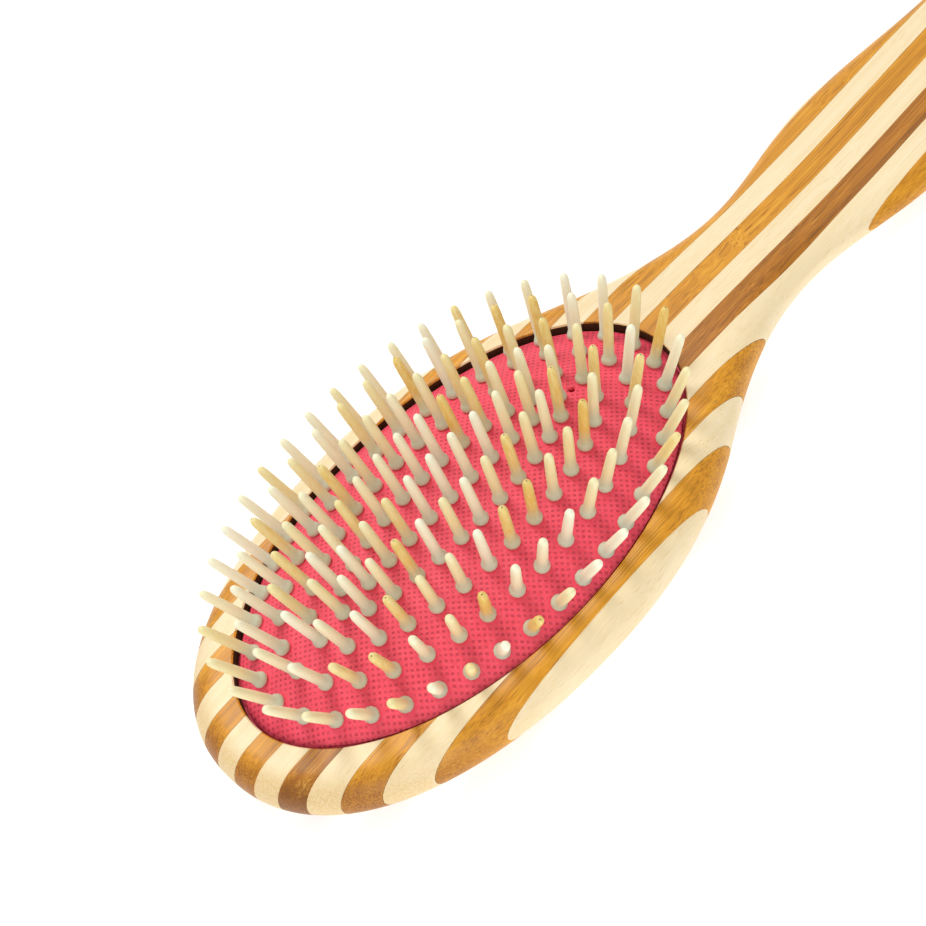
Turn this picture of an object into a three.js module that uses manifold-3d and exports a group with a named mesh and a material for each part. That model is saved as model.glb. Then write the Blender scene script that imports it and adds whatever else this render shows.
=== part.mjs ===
// Oval cushion brush: striped bamboo board, rubber cushion and wooden pins.
// Millimetres. The origin is the middle of the cushion, on the flat back of the board.
// +Y runs along the handle, +Z points out of the bristle side.
import * as THREE from "three";
import { mergeVertices } from "three/addons/utils/BufferGeometryUtils.js";
import Module from "manifold-3d";

const wasm = await Module();
wasm.setup();

// Board outline
const HEAD_HALF_WIDTH = 36.3;
const HEAD_TIP = 57.5; // from the origin to the tip
const HEAD_FULLNESS = 2.2; // exponent of the rounded tip, 2 is an ellipse
const SHOULDER_Y = HEAD_TIP - 15.5;
const SHOULDER_HALF_WIDTH = 0.683 * HEAD_HALF_WIDTH;
const NECK_Y = HEAD_TIP + 20.5;
const NECK_HALF_WIDTH = 0.347 * HEAD_HALF_WIDTH;
const GRIP_Y = NECK_Y + 32;
const GRIP_HALF_WIDTH = 0.474 * HEAD_HALF_WIDTH;
const TAIL_Y = GRIP_Y + 40;
const TAIL_HALF_WIDTH = 0.397 * HEAD_HALF_WIDTH;
const END_Y = TAIL_Y + 32;
const END_CAP = 16; // length of the rounded end
const OUTLINE_STEP = 5.5; // spacing of the outline's points down the sides

// Board section
const FACE_Z = 9.7; // thickness of the head
const HANDLE_DROP = 2.9; // the handle's upper face lies this much lower
const DROP_START_Y = SHOULDER_Y;
const DROP_END_Y = NECK_Y + 26;
const EDGE_WIDTH = 5.6; // how far in the rounded edge reaches
const EDGE_FULLNESS = 2;

// Strips that the board is laminated from
const STRIP_COUNT = 16;
const STRIP_WIDTH = (2 * HEAD_HALF_WIDTH) / 15.11;
const FIRST_JOINT = -HEAD_HALF_WIDTH - 0.626 * STRIP_WIDTH; // outer side of strip 1
const STRIP_TURN = 2.52; // degrees between the strips and the handle's axis
const GLUE_GAP = 0.3;
const DARK_STRIP = 11; // this one is darker than the other brown strips

// Pocket and cushion
const SIDE_RIM = 6.3; // wood outside the pocket at the sides
const TIP_RIM = 8.7;
const PAD_HALF_WIDTH = HEAD_HALF_WIDTH - SIDE_RIM;
const PAD_HALF_LENGTH = HEAD_TIP - TIP_RIM;
const POCKET_DEPTH = 7;
const GROOVE_REACH = 1.6;
const GROOVE_TOP = 2.5; // below the face
const GROOVE_HEIGHT = 2.1;
const CLEARANCE = 0.3;
const PAD_EDGE_DEPTH = 1.75; // the cushion's edge lies this far below the face
const DOME_RISE = 7.97;
const DOME_FOURTH = 0.54; // share of the fourth power in the dome's curve
const RUBBER = 1.4;
const LIP_WIDTH = 2.2;
const PAD_SIDES = 36;
const VENT_RADIUS = 0.65;
const VENT_Y = PAD_HALF_LENGTH - 18.7; // between the row's end and ring 3

// Pins: each ring is an oval, as shares of the pad's half width and half length
const RINGS = [
  { name: "pins_ring_1", count: 38, across: 0.888, along: 0.905 },
  { name: "pins_ring_2", count: 32, across: 0.703, along: 0.7865 },
  { name: "pins_ring_3", count: 28, across: 0.4923, along: 0.6607 },
  { name: "pins_ring_4", count: 24, across: 0.25, along: 0.543 },
];
const ROW_COUNT = 9;
const ROW_PITCH = 0.1025 * PAD_HALF_LENGTH;
const PIN_SHIFT = 0.7; // the pin pattern sits this far towards the handle
const PIN_LENGTH = 12.6; // above the rubber
const PIN_SPLAY = 1.15; // lean of a pin as a share of the dome's slope
const FOOT_RADIUS = 1.38;
const SHAFT_RADIUS = 1.02;
const TOP_RADIUS = 0.86;
const STEM_RADIUS = 0.55;
const RUNNER_WIDTH = 1.6; // strip that joins the pins of a ring under the rubber
const RUNNER_THICKNESS = 0.9;
const PIN_SIDES = 6;

const CREAM = { color: "#f3dfb4", roughness: 0.55, metalness: 0 };
const GOLD = { color: "#c98a2a", roughness: 0.5, metalness: 0 };
const DARK = { color: "#8a5420", roughness: 0.5, metalness: 0 };
const RUBBER_LOOK = { color: "#ef4a64", roughness: 0.6, metalness: 0 };
const PIN_LOOK = { color: "#ecdcae", roughness: 0.5, metalness: 0 };

// ---- solids ----

function toSolid(geometry) {
  geometry.deleteAttribute("normal");
  geometry.deleteAttribute("uv");
  const merged = mergeVertices(geometry, 1e-4);
  return new wasm.Manifold(
    new wasm.Mesh({
      numProp: 3,
      vertProperties: new Float32Array(merged.attributes.position.array),
      triVerts: new Uint32Array(merged.index.array),
    }),
  );
}

function toGeometry(solid) {
  const mesh = solid.getMesh();
  const geometry = new THREE.BufferGeometry();
  geometry.setAttribute("position", new THREE.BufferAttribute(mesh.vertProperties, 3));
  geometry.setIndex(new THREE.BufferAttribute(mesh.triVerts, 1));
  geometry.computeVertexNormals();
  return geometry;
}

// Loops of points from top to bottom, each anticlockwise seen from above, become a closed skin.
function skin(loops, closeEnds = true) {
  const count = loops[0].length;
  const points = loops.flat();
  const index = [];
  for (let row = 0; row + 1 < loops.length; row += 1) {
    for (let i = 0; i < count; i += 1) {
      const next = (i + 1) % count;
      const a = row * count + i;
      const b = row * count + next;
      index.push(a, a + count, b + count, a, b + count, b);
    }
  }
  if (closeEnds) {
    const last = (loops.length - 1) * count;
    const top = points.push(middle(loops[0])) - 1;
    const bottom = points.push(middle(loops.at(-1))) - 1;
    for (let i = 0; i < count; i += 1) {
      const next = (i + 1) % count;
      index.push(top, i, next, bottom, last + next, last + i);
    }
  }
  return indexed(points, index);
}

function indexed(points, index) {
  const geometry = new THREE.BufferGeometry();
  const flat = points.flatMap((p) => [p.x, p.y, p.z]);
  geometry.setAttribute("position", new THREE.Float32BufferAttribute(flat, 3));
  geometry.setIndex(index);
  return geometry;
}

function middle(loop) {
  const sum = loop.reduce((total, p) => total.add(p), new THREE.Vector3());
  return sum.divideScalar(loop.length);
}

function ellipse(halfWidth, halfLength, z, count) {
  const loop = [];
  for (let i = 0; i < count; i += 1) {
    const angle = (2 * Math.PI * i) / count;
    loop.push(new THREE.Vector3(halfWidth * Math.cos(angle), halfLength * Math.sin(angle), z));
  }
  return loop;
}

// ---- board ----

function hermite(y, y0, w0, slope0, y1, w1, slope1) {
  const t = (y - y0) / (y1 - y0);
  const span = y1 - y0;
  const a = (1 + 2 * t) * (1 - t) ** 2 * w0 + t * (1 - t) ** 2 * span * slope0;
  const b = t * t * (3 - 2 * t) * w1 + t * t * (t - 1) * span * slope1;
  return a + b;
}

function halfWidth(y) {
  const shoulderSlope = (1.75 * (NECK_HALF_WIDTH - HEAD_HALF_WIDTH)) / NECK_Y;
  if (y <= 0) {
    const share = Math.min(1, -y / HEAD_TIP) ** HEAD_FULLNESS;
    return HEAD_HALF_WIDTH * (1 - share) ** (1 / HEAD_FULLNESS);
  }
  if (y < SHOULDER_Y) {
    return hermite(y, 0, HEAD_HALF_WIDTH, 0, SHOULDER_Y, SHOULDER_HALF_WIDTH, shoulderSlope);
  }
  if (y < NECK_Y) {
    return hermite(y, SHOULDER_Y, SHOULDER_HALF_WIDTH, shoulderSlope, NECK_Y, NECK_HALF_WIDTH, 0);
  }
  if (y < GRIP_Y) {
    return hermite(y, NECK_Y, NECK_HALF_WIDTH, 0, GRIP_Y, GRIP_HALF_WIDTH, 0);
  }
  if (y < TAIL_Y) {
    return hermite(y, GRIP_Y, GRIP_HALF_WIDTH, 0, TAIL_Y, TAIL_HALF_WIDTH, 0);
  }
  const past = Math.max(0, (y - (END_Y - END_CAP)) / END_CAP);
  return TAIL_HALF_WIDTH * Math.sqrt(Math.max(0, 1 - past * past));
}

function upperZ(y) {
  const t = THREE.MathUtils.clamp((y - DROP_START_Y) / (DROP_END_Y - DROP_START_Y), 0, 1);
  return FACE_Z - HANDLE_DROP * t * t * (3 - 2 * t);
}

// Right-hand half of the outline from the tip to the end, closely spaced where it turns.
function halfOutline() {
  const points = [];
  for (let i = 0; i <= 11; i += 1) {
    const y = -HEAD_TIP * Math.cos((Math.PI / 2) * (i / 11));
    points.push(new THREE.Vector2(halfWidth(y), y));
  }
  const straightEnd = END_Y - END_CAP;
  const steps = Math.round(straightEnd / OUTLINE_STEP);
  for (let i = 1; i <= steps; i += 1) {
    const y = (straightEnd * i) / steps;
    points.push(new THREE.Vector2(halfWidth(y), y));
  }
  for (let i = 1; i <= 5; i += 1) {
    const y = straightEnd + END_CAP * Math.sin((Math.PI / 2) * (i / 5));
    points.push(new THREE.Vector2(halfWidth(y), y));
  }
  return points;
}

// The board: its outline swept down a rounded edge, with flat faces between the two sides.
function boardSolid() {
  const half = halfOutline();
  const last = half.length - 1;
  const outward = half.map((point, i) => {
    if (i === 0) {
      return new THREE.Vector2(0, -1);
    }
    if (i === last) {
      return new THREE.Vector2(0, 1);
    }
    const along = half[i + 1].clone().sub(half[i - 1]).normalize();
    return new THREE.Vector2(along.y, -along.x);
  });
  const edgeSteps = 5;
  const loops = [];
  for (let row = 0; row <= edgeSteps; row += 1) {
    const angle = Math.PI * (0.5 - row / edgeSteps);
    const power = 2 / EDGE_FULLNESS;
    const inset = EDGE_WIDTH * (1 - Math.abs(Math.cos(angle)) ** power);
    const rise = Math.sign(Math.sin(angle)) * Math.abs(Math.sin(angle)) ** power;
    const side = half.map((point, i) => {
      const x = i === 0 || i === last ? 0 : point.x - outward[i].x * inset;
      const y = point.y - outward[i].y * inset;
      const top = upperZ(y);
      return new THREE.Vector3(x, y, (top / 2) * (1 + rise));
    });
    const mirrored = side.slice(1, last).reverse();
    loops.push([...side, ...mirrored.map((p) => new THREE.Vector3(-p.x, p.y, p.z))]);
  }
  const shell = skin(loops, false);
  const index = [...shell.index.array];
  const count = loops[0].length;
  const base = edgeSteps * count;
  for (let i = 0; i < last; i += 1) {
    const left = (count - i) % count;
    const leftNext = (count - i - 1) % count;
    if (i > 0) {
      index.push(left, i, leftNext);
      index.push(base + left, base + leftNext, base + i);
    }
    if (i + 1 < last) {
      index.push(i, i + 1, leftNext);
      index.push(base + i, base + leftNext, base + i + 1);
    }
  }
  shell.setIndex(index);
  return toSolid(shell);
}

// The cushion and its pocket follow the same oval.
function rimLoop(grow, z) {
  return ellipse(PAD_HALF_WIDTH + grow, PAD_HALF_LENGTH + grow, z, PAD_SIDES);
}

function pocketSolid() {
  const grow = [0, 0, GROOVE_REACH, GROOVE_REACH, 0, 0];
  const grooveZ = FACE_Z - GROOVE_TOP;
  const levels = [
    FACE_Z + 5,
    grooveZ,
    grooveZ,
    grooveZ - GROOVE_HEIGHT,
    grooveZ - GROOVE_HEIGHT,
    FACE_Z - POCKET_DEPTH,
  ];
  const loops = levels.map((z, i) => rimLoop(grow[i], z));
  return toSolid(skin(loops));
}

// One strip of the laminate. The two outer ones reach past the edge of the board.
function stripBlock(number) {
  const length = 2 * (END_Y + HEAD_TIP);
  const past = 2 * HEAD_HALF_WIDTH;
  const left = FIRST_JOINT + (number - 1) * STRIP_WIDTH + GLUE_GAP / 2;
  const from = number === 1 ? -past : left;
  const to = number === STRIP_COUNT ? past : left + STRIP_WIDTH - GLUE_GAP;
  const block = new THREE.BoxGeometry(to - from, length, 4 * FACE_Z);
  block.translate((from + to) / 2, 0, 0);
  block.rotateZ(THREE.MathUtils.degToRad(STRIP_TURN));
  return toSolid(block);
}

function stripLook(number) {
  if (number === DARK_STRIP) {
    return ["dark", DARK];
  }
  return number % 2 === 1 ? ["brown", GOLD] : ["cream", CREAM];
}

function addStrips(group) {
  const board = boardSolid().subtract(pocketSolid());
  for (let number = 1; number <= STRIP_COUNT; number += 1) {
    const [tone, look] = stripLook(number);
    const pieces = board.intersect(stripBlock(number)).decompose();
    const real = pieces.filter((piece) => piece.volume() > 1);
    real.sort((a, b) => a.boundingBox().min[1] - b.boundingBox().min[1]);
    real.forEach((piece, i) => {
      const place = real.length > 1 ? ["_head", "_handle"][i] : "";
      const name = `strip_${String(number).padStart(2, "0")}_${tone}${place}`;
      addMesh(group, name, toGeometry(piece), look);
    });
  }
}

// ---- cushion ----

const EDGE_Z = FACE_Z - PAD_EDGE_DEPTH;

function domeRise(square) {
  return DOME_RISE * (1 - (1 - DOME_FOURTH) * square - DOME_FOURTH * square * square);
}

function domeZ(x, y) {
  const square = (x / PAD_HALF_WIDTH) ** 2 + (y / PAD_HALF_LENGTH) ** 2;
  return EDGE_Z + domeRise(square);
}

function cushionSolid() {
  const shares = [0.38, 0.68, 0.89];
  const dome = (share, lower) => {
    const z = EDGE_Z + domeRise(share * share) - lower;
    return ellipse(PAD_HALF_WIDTH * share, PAD_HALF_LENGTH * share, z, PAD_SIDES);
  };
  const lipTop = FACE_Z - GROOVE_TOP - CLEARANCE;
  const lipBottom = FACE_Z - GROOVE_TOP - GROOVE_HEIGHT + CLEARANCE;
  const lipReach = GROOVE_REACH - CLEARANCE;
  const loops = [
    dome(0.03, 0),
    ...shares.map((share) => dome(share, 0)),
    rimLoop(-CLEARANCE, EDGE_Z),
    rimLoop(-CLEARANCE, lipTop),
    rimLoop(lipReach, lipTop),
    rimLoop(lipReach, lipBottom),
    rimLoop(-LIP_WIDTH, lipBottom),
    rimLoop(-LIP_WIDTH, EDGE_Z - RUBBER / 2),
    ...shares.toReversed().map((share) => dome(share, RUBBER)),
    dome(0.03, RUBBER),
  ];
  return toSolid(skin(loops));
}

// ---- pins ----

// Places at equal steps along an ellipse, starting at the tip end.
function ringPlaces(ring) {
  const fine = 720;
  const path = [];
  let run = 0;
  for (let i = 0; i <= fine; i += 1) {
    const angle = (2 * Math.PI * i) / fine;
    const x = ring.across * PAD_HALF_WIDTH * Math.sin(angle);
    const y = -ring.along * PAD_HALF_LENGTH * Math.cos(angle);
    run += i ? Math.hypot(x - path[i - 1].x, y - path[i - 1].y) : 0;
    path.push({ x, y, run });
  }
  const places = [];
  for (let k = 0; k < ring.count; k += 1) {
    const goal = (run * k) / ring.count;
    const at = path.find((p) => p.run >= goal);
    places.push(new THREE.Vector2(at.x, at.y + PIN_SHIFT));
  }
  return places;
}

function rowPlaces() {
  const places = [];
  for (let k = 0; k < ROW_COUNT; k += 1) {
    places.push(new THREE.Vector2(0, PIN_SHIFT + (k - (ROW_COUNT - 1) / 2) * ROW_PITCH));
  }
  return places;
}

// A pin stands on the dome and leans with its slope.
function pinFrame(place) {
  const square = (place.x / PAD_HALF_WIDTH) ** 2 + (place.y / PAD_HALF_LENGTH) ** 2;
  const steep = DOME_RISE * (2 * (1 - DOME_FOURTH) + 4 * DOME_FOURTH * square) * PIN_SPLAY;
  const leanX = (steep * place.x) / PAD_HALF_WIDTH ** 2;
  const leanY = (steep * place.y) / PAD_HALF_LENGTH ** 2;
  const up = new THREE.Vector3(leanX, leanY, 1).normalize();
  const foot = new THREE.Vector3(place.x, place.y, domeZ(place.x, place.y));
  return { foot, up };
}

// Depth of the runner's middle under the rubber's upper side.
const RUNNER_DEPTH = RUBBER + CLEARANCE + RUNNER_THICKNESS / 2;

function stand(geometry, frame) {
  const turn = new THREE.Quaternion();
  turn.setFromUnitVectors(new THREE.Vector3(0, 0, 1), frame.up);
  geometry.applyQuaternion(turn);
  geometry.translate(frame.foot.x, frame.foot.y, frame.foot.z);
  return toSolid(geometry);
}

function pinSolid(frame) {
  const stemBottom = -RUNNER_DEPTH;
  const footZ = 0.55 + 0.8 * Math.hypot(frame.up.x, frame.up.y);
  const profile = [
    new THREE.Vector2(0, stemBottom),
    new THREE.Vector2(STEM_RADIUS, stemBottom),
    new THREE.Vector2(STEM_RADIUS, footZ - 0.25),
    new THREE.Vector2(FOOT_RADIUS, footZ),
    new THREE.Vector2(SHAFT_RADIUS, footZ + 1.1),
    new THREE.Vector2(TOP_RADIUS, PIN_LENGTH - 0.7),
    new THREE.Vector2(0, PIN_LENGTH),
  ];
  const pin = new THREE.LatheGeometry(profile, PIN_SIDES);
  pin.rotateX(Math.PI / 2);
  return stand(pin, frame);
}

// A square hole that clears the stem all round.
function holeSolid(frame) {
  const reach = RUBBER + 2.5;
  const radius = (STEM_RADIUS + CLEARANCE) * Math.SQRT2;
  const hole = new THREE.CylinderGeometry(radius, radius, 2 * reach, 4);
  hole.rotateX(Math.PI / 2);
  return stand(hole, frame);
}

// Flat strip under the rubber, through the stems of one ring or row.
function runnerSolid(frames, closed) {
  const spots = frames.map((f) => ({
    centre: f.foot.clone().addScaledVector(f.up, -RUNNER_DEPTH),
    up: f.up,
  }));
  if (!closed) {
    spots[0].centre.add(endShift(spots[0], spots[1]));
    spots.at(-1).centre.add(endShift(spots.at(-1), spots.at(-2)));
  }
  const count = spots.length;
  const loops = spots.map((spot, i) => {
    const before = spots[closed ? (i + count - 1) % count : Math.max(0, i - 1)].centre;
    const after = spots[closed ? (i + 1) % count : Math.min(count - 1, i + 1)].centre;
    const along = after.clone().sub(before).normalize();
    const side = along.clone().cross(spot.up).normalize();
    const up = side.clone().cross(along).normalize();
    side.multiplyScalar(RUNNER_WIDTH / 2);
    up.multiplyScalar(RUNNER_THICKNESS / 2);
    const corner = (a, b) => spot.centre.clone().addScaledVector(side, a).addScaledVector(up, b);
    return [corner(1, -1), corner(1, 1), corner(-1, 1), corner(-1, -1)];
  });
  const index = [];
  const spans = closed ? count : count - 1;
  for (let i = 0; i < spans; i += 1) {
    const a = 4 * i;
    const b = 4 * ((i + 1) % count);
    for (let k = 0; k < 4; k += 1) {
      const n = (k + 1) % 4;
      index.push(a + k, b + n, a + n, a + k, b + k, b + n);
    }
  }
  if (!closed) {
    const z = 4 * (count - 1);
    index.push(0, 1, 2, 0, 2, 3, z, z + 2, z + 1, z, z + 3, z + 2);
  }
  return toSolid(indexed(loops.flat(), index));
}

// An open runner ends a little past its last stem.
function endShift(last, neighbour) {
  return last.centre.clone().sub(neighbour.centre).normalize();
}

function pinGroup(frames, closed) {
  const pins = frames.map((frame) => pinSolid(frame));
  return pins.reduce((all, pin) => all.add(pin), runnerSolid(frames, closed));
}

// ---- assembly ----

function addMesh(group, name, geometry, look) {
  const mesh = new THREE.Mesh(geometry, new THREE.MeshStandardMaterial(look));
  mesh.name = name;
  group.add(mesh);
}

const brush = new THREE.Group();
addStrips(brush);

let cushion = cushionSolid();
const rings = RINGS.map((ring) => {
  return { name: ring.name, frames: ringPlaces(ring).map(pinFrame), closed: true };
});
rings.push({ name: "pins_centre_row", frames: rowPlaces().map(pinFrame), closed: false });
for (const ring of rings) {
  for (const frame of ring.frames) {
    cushion = cushion.subtract(holeSolid(frame));
  }
}
const vent = new THREE.CylinderGeometry(VENT_RADIUS, VENT_RADIUS, 4 * RUBBER, 8);
vent.rotateX(Math.PI / 2);
cushion = cushion.subtract(stand(vent, pinFrame(new THREE.Vector2(0, VENT_Y))));
addMesh(brush, "cushion", toGeometry(cushion), RUBBER_LOOK);

for (const ring of rings) {
  addMesh(brush, ring.name, toGeometry(pinGroup(ring.frames, ring.closed)), PIN_LOOK);
}

export default brush;
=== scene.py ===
import math
import random

import bmesh
import bpy
from mathutils import Matrix, Vector
from mathutils.kdtree import KDTree


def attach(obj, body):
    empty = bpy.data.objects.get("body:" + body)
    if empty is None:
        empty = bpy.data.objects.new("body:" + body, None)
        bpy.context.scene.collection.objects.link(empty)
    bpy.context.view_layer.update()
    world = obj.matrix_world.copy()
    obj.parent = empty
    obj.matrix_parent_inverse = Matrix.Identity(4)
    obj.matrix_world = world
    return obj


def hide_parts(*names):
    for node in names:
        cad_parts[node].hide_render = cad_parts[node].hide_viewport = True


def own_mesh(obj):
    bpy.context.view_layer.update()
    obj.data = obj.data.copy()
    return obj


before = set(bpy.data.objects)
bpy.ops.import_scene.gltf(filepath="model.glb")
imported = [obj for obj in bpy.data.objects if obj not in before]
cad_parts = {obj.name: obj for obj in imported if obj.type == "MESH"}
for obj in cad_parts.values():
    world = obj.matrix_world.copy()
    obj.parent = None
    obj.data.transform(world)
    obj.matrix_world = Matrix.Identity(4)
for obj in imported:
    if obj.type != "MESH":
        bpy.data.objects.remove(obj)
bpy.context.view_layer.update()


# ---------------------------------------------------------------------------
# Board blank
# The blank is glued up from bamboo laths and routed to an oval head with a waisted handle.
# A wide bullnose runs round its edge, and the handle's face is planed lower than the head's.

HEAD_HALF_WIDTH = 36.3
HEAD_TIP = 57.5
TIP_FULLNESS = 2.2  # exponent of the rounded tip, 2 is an ellipse
CAP_START = 166.0
CAP_LENGTH = 16.0
CAP_HALF_WIDTH = 14.4
# Places along the handle: the distance from the cushion's middle, the half width and its slope.
WAIST = [
    (0.0, HEAD_HALF_WIDTH, 0.0),
    (42.0, 24.8, -0.59),
    (78.0, 12.6, 0.0),
    (110.0, 17.2, 0.0),
    (150.0, CAP_HALF_WIDTH, 0.0),
]
FACE_HEIGHT = 9.7
HANDLE_DROP = 2.9
DROP_FROM, DROP_TO = 42.0, 104.0
BULLNOSE_WIDTH = 5.6
BULLNOSE_FULLNESS = 2.0
BULLNOSE_STEPS = 20
TIP_POINTS, SIDE_POINTS, CAP_POINTS = 44, 90, 12


def half_width(y):
    """Half the board's width at a place along the handle's axis, in millimetres."""
    if y <= 0:
        share = min(1.0, -y / HEAD_TIP) ** TIP_FULLNESS
        return HEAD_HALF_WIDTH * (1 - share) ** (1 / TIP_FULLNESS)
    for (y0, w0, slope0), (y1, w1, slope1) in zip(WAIST, WAIST[1:]):
        if y < y1:
            t, span = (y - y0) / (y1 - y0), y1 - y0
            near = (1 + 2 * t) * (1 - t) ** 2 * w0 + t * (1 - t) ** 2 * span * slope0
            far = t * t * (3 - 2 * t) * w1 + t * t * (t - 1) * span * slope1
            return near + far
    past = max(0.0, (y - CAP_START) / CAP_LENGTH)
    return CAP_HALF_WIDTH * math.sqrt(max(0.0, 1 - past * past))


def face_height(y):
    """Height of the board's upper face, which falls from the head to the handle."""
    t = min(1.0, max(0.0, (y - DROP_FROM) / (DROP_TO - DROP_FROM)))
    return FACE_HEIGHT - HANDLE_DROP * t * t * (3 - 2 * t)


def outline():
    """The board's edge as a closed loop: up the right side from the tip, and back down the left."""
    along = [-HEAD_TIP * math.cos(math.pi / 2 * (i + 0.5) / TIP_POINTS) for i in range(TIP_POINTS)]
    along += [CAP_START * i / SIDE_POINTS for i in range(SIDE_POINTS + 1)]
    for i in range(1, CAP_POINTS + 1):
        along.append(CAP_START + CAP_LENGTH * math.sin(math.pi / 2 * i / (CAP_POINTS + 0.5)))
    right = [Vector((half_width(y), y)) for y in along]
    return right + [Vector((-p.x, p.y)) for p in reversed(right)]


def outward(loop):
    """The direction square to the edge at each point of the loop."""
    found = []
    for i in range(len(loop)):
        run = (loop[(i + 1) % len(loop)] - loop[i - 1]).normalized()
        found.append(Vector((run.y, -run.x)))
    return found


def to_piece(bm, name, smooth_to=35.0):
    """Turns millimetres to metres, marks the crisp edges and makes the object."""
    bmesh.ops.scale(bm, vec=(0.001, 0.001, 0.001), verts=bm.verts)
    for face in bm.faces:
        face.smooth = True
    for edge in bm.edges:
        if len(edge.link_faces) == 2:
            edge.smooth = edge.calc_face_angle() < math.radians(smooth_to)
    mesh = bpy.data.meshes.new(name)
    bm.to_mesh(mesh)
    bm.free()
    piece = bpy.data.objects.new(name, mesh)
    bpy.context.scene.collection.objects.link(piece)
    return piece


def board_blank():
    """The outline stepped round the bullnose from face to back, with both flats closed."""
    edge_line = outline()
    square_out = outward(edge_line)
    bm = bmesh.new()
    spot = bm.verts.layers.int.new("spot")
    ring = [bm.verts.new((p.x, p.y, 0)) for p in edge_line]
    for i, vert in enumerate(ring):
        vert[spot] = i
    edges = [bm.edges.new((ring[i - 1], ring[i])) for i in range(len(ring))]
    levels = []
    for step in range(BULLNOSE_STEPS + 1):
        if step:
            made = bmesh.ops.extrude_edge_only(bm, edges=edges)["geom"]
            edges = [g for g in made if isinstance(g, bmesh.types.BMEdge)]
            edges = [e for e in edges if all(v in made for v in e.verts)]
            ring = [g for g in made if isinstance(g, bmesh.types.BMVert)]
        turn = math.pi * (0.5 - step / BULLNOSE_STEPS)
        power = 2 / BULLNOSE_FULLNESS
        inset = BULLNOSE_WIDTH * (1 - abs(math.cos(turn)) ** power)
        rise = math.copysign(abs(math.sin(turn)) ** power, math.sin(turn))
        for vert in ring:
            place = edge_line[vert[spot]] - square_out[vert[spot]] * inset
            vert.co = (place.x, place.y, face_height(place.y) / 2 * (1 + rise))
        levels.append(list(ring))
    # The two flat faces are laid as rungs from side to side.
    half = len(edge_line) // 2
    for level in (levels[0], levels[-1]):
        sides = []
        for vert in level:
            for edge in vert.link_edges:
                a, b = (v[spot] for v in edge.verts)
                if edge.other_vert(vert) in level and abs(a - b) == 1 and {a, b} != {half - 1, half}:
                    sides.append(edge)
        bmesh.ops.bridge_loops(bm, edges=list(set(sides)))
    bmesh.ops.recalc_face_normals(bm, faces=bm.faces)
    return bm


# ---------------------------------------------------------------------------
# Pocket
# The head is hollowed by an oval pocket with a groove in its wall for the cushion's lip.
# The wall's top arris is broken by a fine chamfer.

PAD_HALF_WIDTH = 30.0
PAD_HALF_LENGTH = 48.8
POCKET_FLOOR = 2.7
GROOVE_TOP = 7.2
GROOVE_BOTTOM = 5.1
GROOVE_REACH = 1.6
ARRIS = 0.25
POCKET_SIDES = 180
CUT_ABOVE = 2  # the cutter stands this far out of the face


def turn_round(bm, chain, steps):
    """Spins a chain of edges once round the Z axis and joins its ends."""
    bmesh.ops.spin(
        bm, geom=chain, axis=(0, 0, 1), cent=(0, 0, 0), angle=2 * math.pi, steps=steps, use_merge=True
    )
    bmesh.ops.remove_doubles(bm, verts=bm.verts, dist=1e-4)


def oval_spin(profile, sides):
    """Spins a profile of (share of the pad's oval, growth beyond it, height) into an oval body."""
    bm = bmesh.new()
    row = bm.verts.layers.int.new("row")
    chain = []
    for i, (share, grow, height) in enumerate(profile):
        vert = bm.verts.new((PAD_HALF_WIDTH * share + grow, 0, height))
        vert[row] = i
        chain.append(vert)
    edges = [bm.edges.new(pair) for pair in zip(chain, chain[1:])]
    turn_round(bm, chain + edges, sides)
    for vert in bm.verts:
        share, grow, _ = profile[vert[row]]
        angle = math.atan2(vert.co.y, vert.co.x)
        vert.co.y = (PAD_HALF_LENGTH * share + grow) * math.sin(angle)
    bmesh.ops.recalc_face_normals(bm, faces=bm.faces)
    return bm


def cut_with(body, cutter):
    """Takes the cutter's shape out of the body and removes the cutter."""
    cut = body.modifiers.new("cut", "BOOLEAN")
    cut.operation = "DIFFERENCE"
    cut.solver = "EXACT"
    cut.object = cutter
    graph = bpy.context.evaluated_depsgraph_get()
    mesh = bpy.data.meshes.new_from_object(body.evaluated_get(graph))
    body.modifiers.remove(cut)
    body.data = mesh
    bpy.data.objects.remove(cutter)


blank = to_piece(board_blank(), "board_blank")
pocket = oval_spin(
    [
        (0, 0, POCKET_FLOOR),
        (1, 0, POCKET_FLOOR),
        (1, 0, GROOVE_BOTTOM),
        (1, GROOVE_REACH, GROOVE_BOTTOM),
        (1, GROOVE_REACH, GROOVE_TOP),
        (1, 0, GROOVE_TOP),
        (1, 0, FACE_HEIGHT - ARRIS),
        (1, ARRIS + CUT_ABOVE, FACE_HEIGHT + CUT_ABOVE),
        (0, 0, FACE_HEIGHT + CUT_ABOVE),
    ],
    POCKET_SIDES,
)
cut_with(blank, to_piece(pocket, "pocket"))


# ---------------------------------------------------------------------------
# Laths
# Natural and steamed (carbonised) bamboo laths alternate across the board, a few degrees off
# the handle's axis. Sawn flush and oiled, they meet in hairline glue joints.

LATH_WIDTH = 2 * HEAD_HALF_WIDTH / 15.11
FIRST_JOINT = -HEAD_HALF_WIDTH - 0.626 * LATH_WIDTH
LATH_TURN = math.radians(2.52)
GLUE_LINE = 0.035
WALL_MARGIN, FLOOR_MARGIN = 0.2, 0.1  # a face this near to the pocket still counts as part of it
NO_KNUCKLE = 900  # far past the board's end
# Place along the fibres of each lath's knuckle, where a leaf scar once crossed the cane.
KNUCKLES = {1: -8, 3: 24, 4: -40, 5: 31, 7: 118, 8: 137, 9: 72, 10: 96, 11: 158, 13: -30, 14: 33, 16: 6}


def linear(hex_colour):
    """An sRGB hex colour as the linear RGBA that the shaders take."""
    parts = [int(hex_colour[i:i + 2], 16) / 255 for i in (1, 3, 5)]
    return [c / 12.92 if c <= 0.04045 else ((c + 0.055) / 1.055) ** 2.4 for c in parts] + [1.0]


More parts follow.
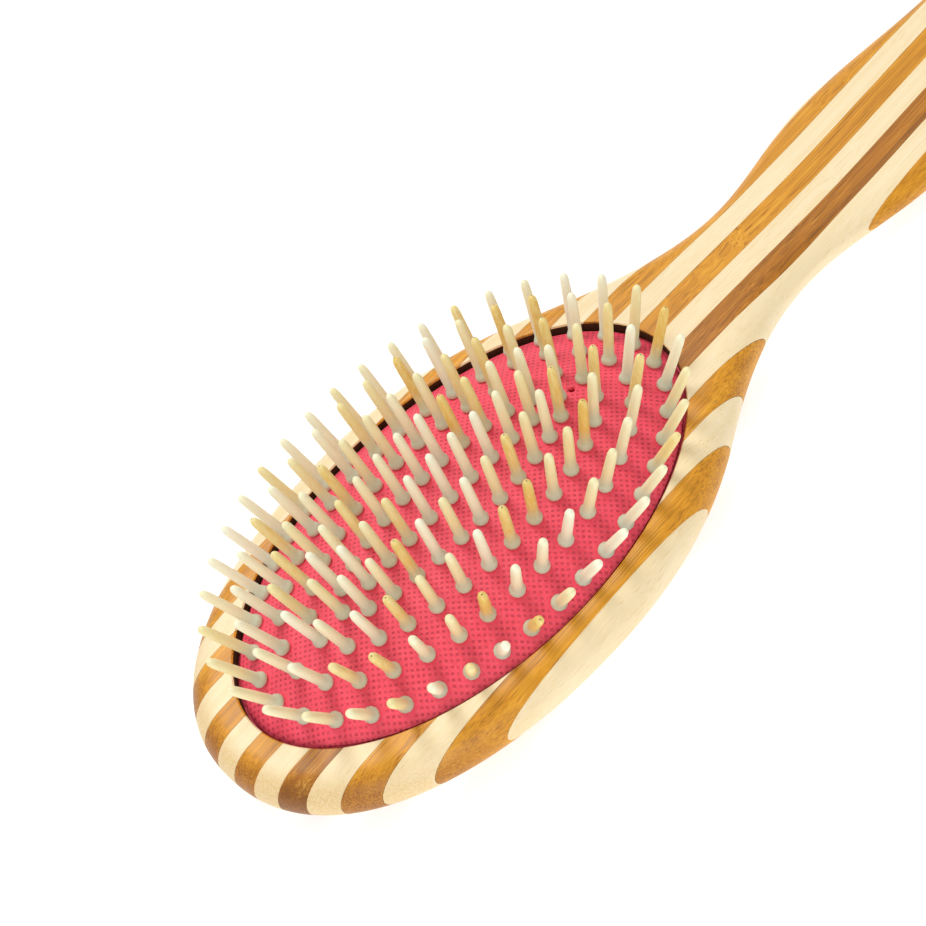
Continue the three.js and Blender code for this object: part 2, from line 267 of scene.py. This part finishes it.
def add_node(tree, kind, settings=(), **inputs):
    """Adds a node. An input is given by its name, and is a value or another node's output."""
    made = tree.nodes.new(kind)
    for name, value in dict(settings).items():
        setattr(made, name, value)
    for name, value in inputs.items():
        key = int(name[1:]) if name[0] == "i" and name[1:].isdigit() else name.replace("_", " ")
        if isinstance(value, bpy.types.NodeSocket):
            tree.links.new(value, made.inputs[key])
        else:
            made.inputs[key].default_value = value
    return made


def set_stops(ramp, stops):
    """Colour stops of a ramp: (place, hex colour)."""
    points = ramp.color_ramp.elements
    while len(points) < len(stops):
        points.new(0.5)
    for point, (place, colour) in zip(points, stops):
        point.position = place
        point.color = linear(colour)


def bamboo(name, tones, end_tone, vein, vein_share, scar, scar_share):
    """Oiled bamboo: fine fibres along the lath, darker veins, and a speckled end grain."""
    look = bpy.data.materials.new(name)
    look.use_nodes = True
    tree = look.node_tree
    shader = tree.nodes["Principled BSDF"]
    place = add_node(tree, "ShaderNodeTexCoord")
    along = add_node(tree, "ShaderNodeMapping", Vector=place.outputs["Object"],
                     Rotation=(0, 0, -LATH_TURN), Scale=(1000, 1000, 1000))
    parts = add_node(tree, "ShaderNodeSeparateXYZ", Vector=along.outputs[0])
    lath = add_node(tree, "ShaderNodeAttribute", {"attribute_name": "lath"})
    knuckle = add_node(tree, "ShaderNodeAttribute", {"attribute_name": "knuckle"})

    # Each lath comes from another cane, so its pattern starts elsewhere.
    step = add_node(tree, "ShaderNodeVectorMath", {"operation": "SCALE"},
                    i0=(17.3, 41.9, 9.7), Scale=lath.outputs["Fac"])
    apart = add_node(tree, "ShaderNodeVectorMath", {"operation": "ADD"},
                     i0=along.outputs[0], i1=step.outputs[0])

    # The fibres swirl for about 10 mm on each side of the knuckle.
    gap = add_node(tree, "ShaderNodeMath", {"operation": "SUBTRACT"},
                   i0=parts.outputs["Y"], i1=knuckle.outputs["Fac"])
    gap = add_node(tree, "ShaderNodeMath", {"operation": "ABSOLUTE"}, i0=gap.outputs[0])
    near = add_node(tree, "ShaderNodeMapRange", {"interpolation_type": "SMOOTHSTEP"},
                    Value=gap.outputs[0], From_Min=1.0, From_Max=13.0, To_Min=1.0, To_Max=0.0)
    sway = add_node(tree, "ShaderNodeTexNoise", Vector=apart.outputs[0], Scale=0.11, Detail=1.0)
    sway = add_node(tree, "ShaderNodeVectorMath", {"operation": "SUBTRACT"},
                    i0=sway.outputs["Color"], i1=(0.5, 0.5, 0.5))
    reach = add_node(tree, "ShaderNodeMath", {"operation": "MULTIPLY_ADD"},
                     i0=near.outputs[0], i1=3.2, i2=0.5)
    sway = add_node(tree, "ShaderNodeVectorMath", {"operation": "SCALE"},
                    i0=sway.outputs[0], Scale=reach.outputs[0])
    bent = add_node(tree, "ShaderNodeVectorMath", {"operation": "ADD"},
                    i0=apart.outputs[0], i1=sway.outputs[0])

    # Fibres are about 0.2 mm wide and run for tens of millimetres.
    fine = add_node(tree, "ShaderNodeMapping", Vector=bent.outputs[0], Scale=(4.6, 0.03, 4.6))
    fine = add_node(tree, "ShaderNodeTexNoise",
                    Vector=fine.outputs[0], Scale=1.0, Detail=3.0, Roughness=0.6)
    wide = add_node(tree, "ShaderNodeMapping", Vector=bent.outputs[0], Scale=(0.55, 0.009, 0.55))
    wide = add_node(tree, "ShaderNodeTexNoise", Vector=wide.outputs[0], Scale=1.0, Detail=2.0)
    tone = add_node(tree, "ShaderNodeMix", {"data_type": "FLOAT"},
                    i0=0.42, i2=fine.outputs[0], i3=wide.outputs[0])
    colour = add_node(tree, "ShaderNodeValToRGB", Fac=tone.outputs[0])
    set_stops(colour, tones)

    # Bundles of vessels: streaks on the face, dots on the end grain.
    cells = add_node(tree, "ShaderNodeMapping", Vector=bent.outputs[0], Scale=(2.3, 0.014, 2.3))
    cells = add_node(tree, "ShaderNodeTexVoronoi", Vector=cells.outputs[0], Scale=1.0)
    cells = add_node(tree, "ShaderNodeMapRange", {"interpolation_type": "SMOOTHSTEP"},
                     Value=cells.outputs["Distance"],
                     From_Min=0.1, From_Max=0.34, To_Min=1.0, To_Max=0.0)
    swirl = add_node(tree, "ShaderNodeMath", {"operation": "MULTIPLY_ADD"},
                     i0=near.outputs[0], i1=0.5, i2=1.0)
    share = add_node(tree, "ShaderNodeMath", {"operation": "MULTIPLY"},
                     i0=cells.outputs[0], i1=vein_share)
    share = add_node(tree, "ShaderNodeMath", {"operation": "MULTIPLY", "use_clamp": True},
                     i0=share.outputs[0], i1=swirl.outputs[0])
    veined = add_node(tree, "ShaderNodeMix", {"data_type": "RGBA"},
                      i0=share.outputs[0], i6=colour.outputs[0], i7=linear(vein))

    # Faces turned towards the tip, across the fibres, are darker and show the fibres' ends as specks;
    # faces turned towards the handle are left plain.
    facing = add_node(tree, "ShaderNodeVectorMath", {"operation": "DOT_PRODUCT"},
                      i0=place.outputs["Normal"],
                      i1=(-math.sin(LATH_TURN), math.cos(LATH_TURN), 0))
    facing = add_node(tree, "ShaderNodeMath", {"operation": "MULTIPLY"},
                      i0=facing.outputs["Value"], i1=-1.0)
    facing = add_node(tree, "ShaderNodeMapRange", {"interpolation_type": "SMOOTHSTEP"},
                      Value=facing.outputs[0], From_Min=0.1, From_Max=0.62)
    specks = add_node(tree, "ShaderNodeTexNoise",
                      Vector=along.outputs[0], Scale=2.6, Detail=2.0, Roughness=0.7)
    specks = add_node(tree, "ShaderNodeMapRange",
                      Value=specks.outputs[0], From_Min=0.35, From_Max=0.65, To_Min=0.45, To_Max=1.0)
    ends = add_node(tree, "ShaderNodeMath", {"operation": "MULTIPLY"},
                    i0=facing.outputs[0], i1=specks.outputs[0])
    ended = add_node(tree, "ShaderNodeMix", {"data_type": "RGBA"},
                     i0=ends.outputs[0], i6=veined.outputs[2], i7=linear(end_tone))

    # Small scars where buds were trimmed off the cane.
    scars = add_node(tree, "ShaderNodeTexVoronoi", Vector=apart.outputs[0], Scale=0.055)
    scars = add_node(tree, "ShaderNodeMapRange", {"interpolation_type": "SMOOTHSTEP"},
                     Value=scars.outputs["Distance"],
                     From_Min=0.02, From_Max=0.065, To_Min=scar_share, To_Max=0.0)
    scarred = add_node(tree, "ShaderNodeMix", {"data_type": "RGBA"},
                       i0=scars.outputs[0], i6=ended.outputs[2], i7=linear(scar))

    shine = add_node(tree, "ShaderNodeMapRange",
                     Value=fine.outputs[0], From_Min=0.3, From_Max=0.7, To_Min=0.36, To_Max=0.5)
    relief = add_node(tree, "ShaderNodeBump", Strength=0.35, Distance=0.00004, Height=fine.outputs[0])
    tree.links.new(scarred.outputs[2], shader.inputs["Base Color"])
    tree.links.new(shine.outputs[0], shader.inputs["Roughness"])
    tree.links.new(relief.outputs[0], shader.inputs["Normal"])
    shader.inputs["IOR"].default_value = 1.5
    return look


# Natural bamboo, sanded and oiled: pale straw, nearly plain, with faint fibres and pinkish scars.
natural_bamboo = bamboo(
    "bamboo_natural_oiled",
    [(0.3, "#F1D7A2"), (0.5, "#F7E1B4"), (0.72, "#FCEAC6")],
    "#E2C084", "#E3BF84", 0.35, "#D9906A", 0.5,
)
# Steamed bamboo: its sugars brown to amber, and each fibre shows as a darker or lighter line.
amber_bamboo = bamboo(
    "bamboo_carbonised_oiled",
    [(0.34, "#A66808"), (0.46, "#D38C12"), (0.56, "#E59E1E"), (0.7, "#F3B63C")],
    "#96580F", "#935808", 0.62, "#8A4F18", 0.3,
)
# Steamed for longer: deep brown with bright single fibres.
brown_bamboo = bamboo(
    "bamboo_dark_carbonised_oiled",
    [(0.36, "#8A5204"), (0.48, "#B06C08"), (0.58, "#C07A10"), (0.68, "#EAB04C")],
    "#7E4A12", "#6E4004", 0.6, "#6E3C10", 0.3,
)
# Painted shade: the pocket's wall, groove and floor are painted nearly black, for the deep shade in the
# recess round the cushion's edge.
pocket_shade_paint = bpy.data.materials.new("bamboo_painted_pocket_shade")
pocket_shade_paint.use_nodes = True
pocket_shade_shader = pocket_shade_paint.node_tree.nodes["Principled BSDF"]
pocket_shade_shader.inputs["Base Color"].default_value = linear("#3A3014")
pocket_shade_shader.inputs["Roughness"].default_value = 0.7
LATH_LOOKS = {
    "cream": (natural_bamboo, "bamboo_cream"),
    "brown": (amber_bamboo, "bamboo_brown"),
    "dark": (brown_bamboo, "bamboo_dark"),
}


def islands(bm):
    """The separate bodies of a mesh, each as a list of faces."""
    left, found = set(bm.faces), []
    while left:
        todo, body = [left.pop()], []
        while todo:
            face = todo.pop()
            body.append(face)
            for edge in face.edges:
                for other in edge.link_faces:
                    if other in left:
                        left.remove(other)
                        todo.append(other)
        found.append(body)
    return found


def sawn_lath(number):
    """The board between two joints, with both sawn sides closed."""
    bm = bmesh.new()
    bm.from_mesh(blank.data)
    bmesh.ops.scale(bm, vec=(1000, 1000, 1000), verts=bm.verts)
    across = Vector((math.cos(LATH_TURN), math.sin(LATH_TURN), 0))
    left = FIRST_JOINT + (number - 1) * LATH_WIDTH
    sides = [(left + GLUE_LINE / 2, -across), (left + LATH_WIDTH - GLUE_LINE / 2, across)]
    for place, away in sides:
        around = list(bm.verts) + list(bm.edges) + list(bm.faces)
        bmesh.ops.bisect_plane(
            bm, geom=around, dist=1e-5, plane_co=across * place, plane_no=away, clear_outer=True
        )
        open_edges = [e for e in bm.edges if e.is_boundary]
        bmesh.ops.holes_fill(bm, edges=open_edges, sides=0)
    return bm


def keep_only(bm, wanted):
    others = set(bm.faces) - set(wanted)
    bmesh.ops.delete(bm, geom=list(others), context="FACES")


def in_pocket(middle):
    """Whether a face's middle, in millimetres, is on the pocket's wall or floor."""
    past = GROOVE_REACH + WALL_MARGIN
    reach = (middle.x / (PAD_HALF_WIDTH + past)) ** 2 + (middle.y / (PAD_HALF_LENGTH + past)) ** 2
    return reach < 1 and POCKET_FLOOR - FLOOR_MARGIN < middle.z < FACE_HEIGHT - ARRIS


def mark(piece, name, value):
    """A number that the lath's material reads, the same all over the piece."""
    layer = piece.data.attributes.new(name, "FLOAT", "POINT")
    layer.data.foreach_set("value", [float(value)] * len(piece.data.vertices))


for node_name in sorted(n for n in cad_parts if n.startswith("strip_")):
    words = node_name.split("_")
    number, tone, end = int(words[1]), words[2], words[-1]
    bm = sawn_lath(number)
    bodies = sorted(islands(bm), key=lambda body: -sum(f.calc_area() for f in body))
    body = bodies[1] if end == "handle" else bodies[0]
    keep_only(bm, body)
    lath = to_piece(bm, "lath_" + "_".join(words[1:]))
    mark(lath, "lath", number + (0.5 if end == "handle" else 0))
    mark(lath, "knuckle", KNUCKLES.get(number, NO_KNUCKLE))
    look, slot_name = LATH_LOOKS[tone]
    lath.data.materials.clear()
    lath.data.materials.append(look)
    lath.data.materials.append(pocket_shade_paint)
    for face in lath.data.polygons:
        # Faces on the pocket's wall, groove and floor take the painted shade.
        face.material_index = 1 if in_pocket(face.center * 1000) else 0
    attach(lath, "board")
    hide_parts(node_name)
bpy.data.objects.remove(blank)


# ---------------------------------------------------------------------------
# Pin pattern
# The pins stand in four ovals round a straight row, each square to the dome it passes through
# and leaning out a little more than the dome does.

RIM_HEIGHT = 7.95  # the dome's edge, below the board's face
DOME_RISE = 7.97
DOME_FOURTH = 0.54  # share of the fourth power in the dome's curve
# Each ring: its number of pins, and its oval as shares of the pad's half width and half length.
PIN_RINGS = [
    ("ring_1", 38, 0.888, 0.905),
    ("ring_2", 32, 0.703, 0.7865),
    ("ring_3", 28, 0.4923, 0.6607),
    ("ring_4", 24, 0.25, 0.543),
]
ROW_COUNT = 9
ROW_PITCH = 5.0
PATTERN_SHIFT = 0.7
PIN_SPLAY = 1.15  # lean of a pin as a share of the dome's slope
PATH_STEPS = 720


def dome_height(square):
    """Height of the dome, by the square of the share of the way out to its rim."""
    return RIM_HEIGHT + DOME_RISE * (1 - (1 - DOME_FOURTH) * square - DOME_FOURTH * square * square)


def ring_places(count, across, along):
    """Equal steps along an oval, from the tip end round."""
    path, run = [], 0.0
    for i in range(PATH_STEPS + 1):
        angle = 2 * math.pi * i / PATH_STEPS
        x = across * PAD_HALF_WIDTH * math.sin(angle)
        y = -along * PAD_HALF_LENGTH * math.cos(angle)
        here = Vector((x, y))
        run += (here - path[-1][1]).length if path else 0.0
        path.append((run, here))
    places = []
    for k in range(count):
        here = next(p for r, p in path if r >= run * k / count)
        places.append(Vector((here.x, here.y + PATTERN_SHIFT)))
    return places


def pin_stand(place):
    """The matrix that stands a pin, made upright at the origin, on the dome."""
    square = (place.x / PAD_HALF_WIDTH) ** 2 + (place.y / PAD_HALF_LENGTH) ** 2
    steep = DOME_RISE * (2 * (1 - DOME_FOURTH) + 4 * DOME_FOURTH * square) * PIN_SPLAY
    lean = (steep * place.x / PAD_HALF_WIDTH ** 2, steep * place.y / PAD_HALF_LENGTH ** 2, 1)
    turn = Vector((0, 0, 1)).rotation_difference(Vector(lean).normalized()).to_matrix().to_4x4()
    return Matrix.Translation((place.x, place.y, dome_height(square))) @ turn


pin_sets = {name: ring_places(count, across, along) for name, count, across, along in PIN_RINGS}
row_steps = [k - (ROW_COUNT - 1) / 2 for k in range(ROW_COUNT)]
pin_sets["centre_row"] = [Vector((0, PATTERN_SHIFT + step * ROW_PITCH)) for step in row_steps]


# ---------------------------------------------------------------------------
# Cushion
# A domed pad of moulded rubber. A lip round its edge snaps into the pocket's groove, and a small
# vent lets the air out as it is pressed. Its skin carries a fine diagonal cross-hatch.

RUBBER_THICKNESS = 1.4
CLEARANCE = 0.3
LIP_TOP, LIP_BOTTOM = GROOVE_TOP - CLEARANCE, GROOVE_BOTTOM + CLEARANCE
LIP_WIDTH = 2.2
VENT_PLACE = 30.1
VENT_RADIUS = 0.65
HATCH_PITCH = 0.94  # spacing of the moulded cross-hatch
CUSHION_SIDES = 160
DOME_STEPS, INSIDE_STEPS = 40, 12
INSIDE_REACH = 0.965  # the dome's underside stops at this share of the way to its rim
INSIDE_DROP = 0.4  # and no further than this below the rim
DRILL_LENGTH = 6


def dome_profile(steps, reach, lower):
    """The dome's curve from its middle out to a share of the way to its rim."""
    shares = [reach * i / steps for i in range(steps + 1)]
    return [(share, 0.0, dome_height(share * share) - lower) for share in shares]


upper = dome_profile(DOME_STEPS, 1.0, 0)
upper[-1] = (1, -0.85, RIM_HEIGHT + 0.1)
inner = dome_profile(INSIDE_STEPS, INSIDE_REACH, RUBBER_THICKNESS)
inner = [(share, grow, height) for share, grow, height in inner if height > RIM_HEIGHT - INSIDE_DROP]
rim = [
    (1, -0.62, RIM_HEIGHT - 0.08),
    (1, -0.48, RIM_HEIGHT - 0.35),
    (1, -0.4, RIM_HEIGHT - 0.7),
    (1, -CLEARANCE, LIP_TOP),
    (1, GROOVE_REACH - CLEARANCE, LIP_TOP),
    (1, GROOVE_REACH - CLEARANCE, LIP_BOTTOM),
    (1, -LIP_WIDTH, LIP_BOTTOM),
    (1, -LIP_WIDTH, RIM_HEIGHT - RUBBER_THICKNESS / 2),
]
cushion = to_piece(oval_spin(upper + rim + list(reversed(inner)), CUSHION_SIDES), "cushion_dome")

vent = bmesh.new()
bmesh.ops.create_cone(vent, cap_ends=True, segments=20, radius1=VENT_RADIUS, radius2=VENT_RADIUS,
                      depth=DRILL_LENGTH, matrix=pin_stand(Vector((0, VENT_PLACE))))
cut_with(cushion, to_piece(vent, "vent_drill"))

# Every pin's foot presses the hatch flat in a narrow collar, so the skin notes how near one is.
feet = [place for places in pin_sets.values() for place in places]
tree_of_feet = KDTree(len(feet))
for i, place in enumerate(feet):
    tree_of_feet.insert((place.x, place.y, 0), i)
tree_of_feet.balance()
collar = cushion.data.attributes.new("foot_gap", "FLOAT", "POINT")
gaps = [tree_of_feet.find((v.co.x * 1000, v.co.y * 1000, 0))[2] for v in cushion.data.vertices]
collar.data.foreach_set("value", gaps)


def moulded_rubber():
    look = bpy.data.materials.new("rubber_moulded_coral")
    look.use_nodes = True
    tree = look.node_tree
    shader = tree.nodes["Principled BSDF"]
    place = add_node(tree, "ShaderNodeTexCoord")
    grid = add_node(tree, "ShaderNodeMapping",
                    Vector=place.outputs["Object"], Rotation=(0, 0, math.radians(45)),
                    Scale=(1000 / HATCH_PITCH,) * 3)
    drift = add_node(tree, "ShaderNodeTexNoise", Vector=grid.outputs[0], Scale=0.25, Detail=1.0)
    drift = add_node(tree, "ShaderNodeVectorMath", {"operation": "SCALE"},
                     i0=drift.outputs["Color"], Scale=0.35)
    grid = add_node(tree, "ShaderNodeVectorMath", {"operation": "ADD"},
                    i0=grid.outputs[0], i1=drift.outputs[0])
    parts = add_node(tree, "ShaderNodeSeparateXYZ", Vector=grid.outputs[0])
    pits = []
    for side, low, high in (("X", -0.15, 0.5), ("Y", -0.5, 0.35)):
        turn = add_node(tree, "ShaderNodeMath", {"operation": "MULTIPLY"},
                        i0=parts.outputs[side], i1=2 * math.pi)
        wave = add_node(tree, "ShaderNodeMath", {"operation": "COSINE"}, i0=turn.outputs[0])
        pits.append(add_node(tree, "ShaderNodeMapRange", {"interpolation_type": "SMOOTHSTEP"},
                             Value=wave.outputs[0], From_Min=low, From_Max=high))
    pit = add_node(tree, "ShaderNodeMath", {"operation": "MULTIPLY"},
                   i0=pits[0].outputs[0], i1=pits[1].outputs[0])

    # The mould is worn, so the pits are deeper in some places than in others.
    wear = add_node(tree, "ShaderNodeTexNoise",
                    Vector=grid.outputs[0], Scale=0.45, Detail=3.0, Roughness=0.65)
    wear = add_node(tree, "ShaderNodeMapRange",
                    Value=wear.outputs[0], From_Min=0.3, From_Max=0.68, To_Min=0.45, To_Max=1.0)
    pit = add_node(tree, "ShaderNodeMath", {"operation": "MULTIPLY"},
                   i0=pit.outputs[0], i1=wear.outputs[0])
    near = add_node(tree, "ShaderNodeAttribute", {"attribute_name": "foot_gap"})
    open_skin = add_node(tree, "ShaderNodeMapRange", {"interpolation_type": "SMOOTHSTEP"},
                         Value=near.outputs["Fac"], From_Min=1.6, From_Max=2.3)
    pit = add_node(tree, "ShaderNodeMath", {"operation": "MULTIPLY"},
                   i0=pit.outputs[0], i1=open_skin.outputs[0])

    skin = add_node(tree, "ShaderNodeTexNoise", Vector=grid.outputs[0], Scale=1.7, Detail=3.0)
    skin = add_node(tree, "ShaderNodeValToRGB", Fac=skin.outputs[0])
    set_stops(skin, [(0.35, "#FA465E"), (0.65, "#FF566C")])
    # Painted shade: the pits of the cross-hatch are coloured darker, as shade in these small recesses.
    colour = add_node(tree, "ShaderNodeMix", {"data_type": "RGBA"},
                      i0=pit.outputs[0], i6=skin.outputs[0], i7=linear("#C83048"))
    sunk = add_node(tree, "ShaderNodeMath", {"operation": "MULTIPLY"}, i0=pit.outputs[0], i1=-1.0)
    relief = add_node(tree, "ShaderNodeBump", Strength=0.6, Distance=0.00015, Height=sunk.outputs[0])
    tree.links.new(colour.outputs[2], shader.inputs["Base Color"])
    tree.links.new(relief.outputs[0], shader.inputs["Normal"])
    shader.inputs["Roughness"].default_value = 0.6
    shader.inputs["IOR"].default_value = 1.52
    return look


# Moulded rubber: matte and strongly coloured, with painted shade in the pits of the cross-hatch.
cushion.data.materials.clear()
cushion.data.materials.append(moulded_rubber())
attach(cushion, "board")
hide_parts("cushion")
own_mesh(cushion)


# ---------------------------------------------------------------------------
# Pins
# Each pin is turned from pale hardwood: a bulb at the foot that rests on the rubber, a slightly
# tapered shaft and a round tip. A thin neck goes through the rubber to a head that holds it.

PIN_SIDES = 12
PIN_PROFILE = [
    (0.0, -2.6), (0.75, -2.6), (0.85, -1.8), (0.5, -1.6), (0.5, -0.05),
    (1.14, 0.0), (1.4, 0.3), (1.44, 0.8), (1.22, 1.35), (0.98, 1.9),
    (0.96, 4.5), (0.9, 9.0), (0.84, 11.2), (0.7, 12.05), (0.4, 12.48), (0.0, 12.6),
]


def turned_pin():
    bm = bmesh.new()
    rise = bm.verts.layers.float.new("rise")
    chain = [bm.verts.new((radius, 0, height)) for radius, height in PIN_PROFILE]
    edges = [bm.edges.new(pair) for pair in zip(chain, chain[1:])]
    turn_round(bm, chain + edges, PIN_SIDES)
    bmesh.ops.recalc_face_normals(bm, faces=bm.faces)
    for vert in bm.verts:
        vert[rise] = vert.co.z
    mesh = bpy.data.meshes.new("pin_pattern")
    bm.to_mesh(mesh)
    bm.free()
    return mesh


def pin_set(name, places, pin, chance):
    bm = bmesh.new()
    bm.from_mesh(pin)
    bm.clear()
    tone = bm.verts.layers.float.new("pin_tone")
    for place in places:
        before = set(bm.verts)
        bm.from_mesh(pin)
        new = [v for v in bm.verts if v not in before]
        stand = pin_stand(place) @ Matrix.Rotation(chance.uniform(0, math.tau), 4, "Z")
        bmesh.ops.transform(bm, matrix=stand, verts=new)
        shade = chance.random()
        for vert in new:
            vert[tone] = shade
    return to_piece(bm, name, smooth_to=50)


def turned_wood():
    look = bpy.data.materials.new("hardwood_turned_pale")
    look.use_nodes = True
    tree = look.node_tree
    shader = tree.nodes["Principled BSDF"]
    place = add_node(tree, "ShaderNodeTexCoord")
    tone = add_node(tree, "ShaderNodeAttribute", {"attribute_name": "pin_tone"})
    rise = add_node(tree, "ShaderNodeAttribute", {"attribute_name": "rise"})
    apart = add_node(tree, "ShaderNodeMath", {"operation": "MULTIPLY"}, i0=tone.outputs["Fac"], i1=37.0)
    apart = add_node(tree, "ShaderNodeCombineXYZ", X=apart.outputs[0], Y=apart.outputs[0])
    grain = add_node(tree, "ShaderNodeMapping", Vector=place.outputs["Object"], Scale=(2200, 2200, 300))
    grain = add_node(tree, "ShaderNodeVectorMath", {"operation": "ADD"},
                     i0=grain.outputs[0], i1=apart.outputs[0])
    grain = add_node(tree, "ShaderNodeTexNoise", Vector=grain.outputs[0], Scale=1.0, Detail=3.0)
    mixed = add_node(tree, "ShaderNodeMath", {"operation": "MULTIPLY_ADD"},
                     i0=grain.outputs[0], i1=0.35, i2=-0.175)
    mixed = add_node(tree, "ShaderNodeMath", {"operation": "ADD"},
                     i0=mixed.outputs[0], i1=tone.outputs["Fac"])
    colour = add_node(tree, "ShaderNodeValToRGB", Fac=mixed.outputs[0])
    woods = [(0.1, "#FAF8DE"), (0.45, "#F8F2CA"), (0.75, "#F4E7AC"), (0.9, "#F0D98C"), (1.0, "#E8C466")]
    set_stops(colour, woods)

    # Painted shade: the foot end, down among the pins near the rubber, is tinted a darker greyish
    # green.
    low = add_node(tree, "ShaderNodeMapRange", {"interpolation_type": "SMOOTHSTEP"},
                   Value=rise.outputs["Fac"], From_Min=0.2, From_Max=6.5, To_Min=0.85, To_Max=0.0)
    foot_shade_painted = add_node(tree, "ShaderNodeMix", {"data_type": "RGBA"},
                      i0=low.outputs[0], i6=colour.outputs[0], i7=linear("#C6DAC4"))
    # The lathe leaves a dark burnt dot at the tip of a few of them.
    top = add_node(tree, "ShaderNodeMapRange",
                   Value=rise.outputs["Fac"], From_Min=12.54, From_Max=12.58)
    some = add_node(tree, "ShaderNodeMath", {"operation": "GREATER_THAN"},
                    i0=tone.outputs["Fac"], i1=0.85)
    dot = add_node(tree, "ShaderNodeMath", {"operation": "MULTIPLY"},
                   i0=top.outputs[0], i1=some.outputs[0])
    dotted = add_node(tree, "ShaderNodeMix", {"data_type": "RGBA"},
                      i0=dot.outputs[0], i6=foot_shade_painted.outputs[2], i7=linear("#5A4426"))
    relief = add_node(tree, "ShaderNodeBump", Strength=0.3, Distance=0.00003, Height=grain.outputs[0])
    tree.links.new(dotted.outputs[2], shader.inputs["Base Color"])
    tree.links.new(relief.outputs[0], shader.inputs["Normal"])
    shader.inputs["Roughness"].default_value = 0.45
    shader.inputs["IOR"].default_value = 1.5
    return look


# Pale hardwood, turned and waxed: ivory to straw, no two quite alike.
pin_wood = turned_wood()
pin_shape = turned_pin()
chance = random.Random(11)
for body_name, places in pin_sets.items():
    pins = pin_set("pins_of_" + body_name, places, pin_shape, chance)
    pins.data.materials.append(pin_wood)
    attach(pins, body_name)
    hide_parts("pins_" + body_name)


# ---------------------------------------------------------------------------
# Studio
# The brush lies on its back on a white, faintly glossy table, with a large soft light above it
# and a weaker one in front. The table glows a little, so that it stays white in the shadows.

TABLE_REACH = 9000  # millimetres, far past the edge of the views taken
TABLE_GAP = 0.05

floor_mesh = bmesh.new()
bmesh.ops.create_grid(floor_mesh, x_segments=1, y_segments=1, size=TABLE_REACH)
bmesh.ops.translate(floor_mesh, vec=(0, 0, -TABLE_GAP), verts=floor_mesh.verts)
floor = to_piece(floor_mesh, "table_top")
table = bpy.data.materials.new("table_white_lacquer")
table.use_nodes = True
table_shader = table.node_tree.nodes["Principled BSDF"]
table_shader.inputs["Base Color"].default_value = linear("#B4B4B4")
table_shader.inputs["Roughness"].default_value = 0.35
table_shader.inputs["Emission Color"].default_value = (1, 1, 1, 1)
table_shader.inputs["Emission Strength"].default_value = 0.74
floor.data.materials.append(table)

world = bpy.data.worlds.new("studio")
bpy.context.scene.world = world
world.use_nodes = True
sky = world.node_tree.nodes["Background"]
sky.inputs["Color"].default_value = (1, 1, 1, 1)
sky.inputs["Strength"].default_value = 0.56


def soft_light(name, place, size, watts):
    lamp = bpy.data.lights.new(name, "AREA")
    lamp.shape = "DISK"
    lamp.size = size
    lamp.energy = watts
    holder = bpy.data.objects.new(name, lamp)
    aim = (Vector((0, 0.03, 0)) - Vector(place)).to_track_quat("-Z", "Y")
    holder.matrix_world = Matrix.Translation(place) @ aim.to_matrix().to_4x4()
    bpy.context.scene.collection.objects.link(holder)


soft_light("key", (-0.45, 0.1, 0.75), 0.45, 3.9)
soft_light("fill", (0.5, -0.35, 0.3), 0.5, 1.5)

camera_data = bpy.data.cameras.new("camera")
camera_data.lens = 73.1
camera_data.sensor_width = 36
camera_data.clip_start = 0.01
camera = bpy.data.objects.new("camera", camera_data)
right, up, back = (0.6588, 0.6850, -0.3109), (-0.4312, 0.6825, 0.5901), (0.6164, -0.2547, 0.7451)
turn = Matrix((right, up, back)).transposed().to_4x4()
camera.matrix_world = Matrix.Translation((0.19437, -0.07471, 0.25555)) @ turn
bpy.context.scene.collection.objects.link(camera)
bpy.context.scene.camera = camera
bpy.context.scene.view_settings.view_transform = "Standard"
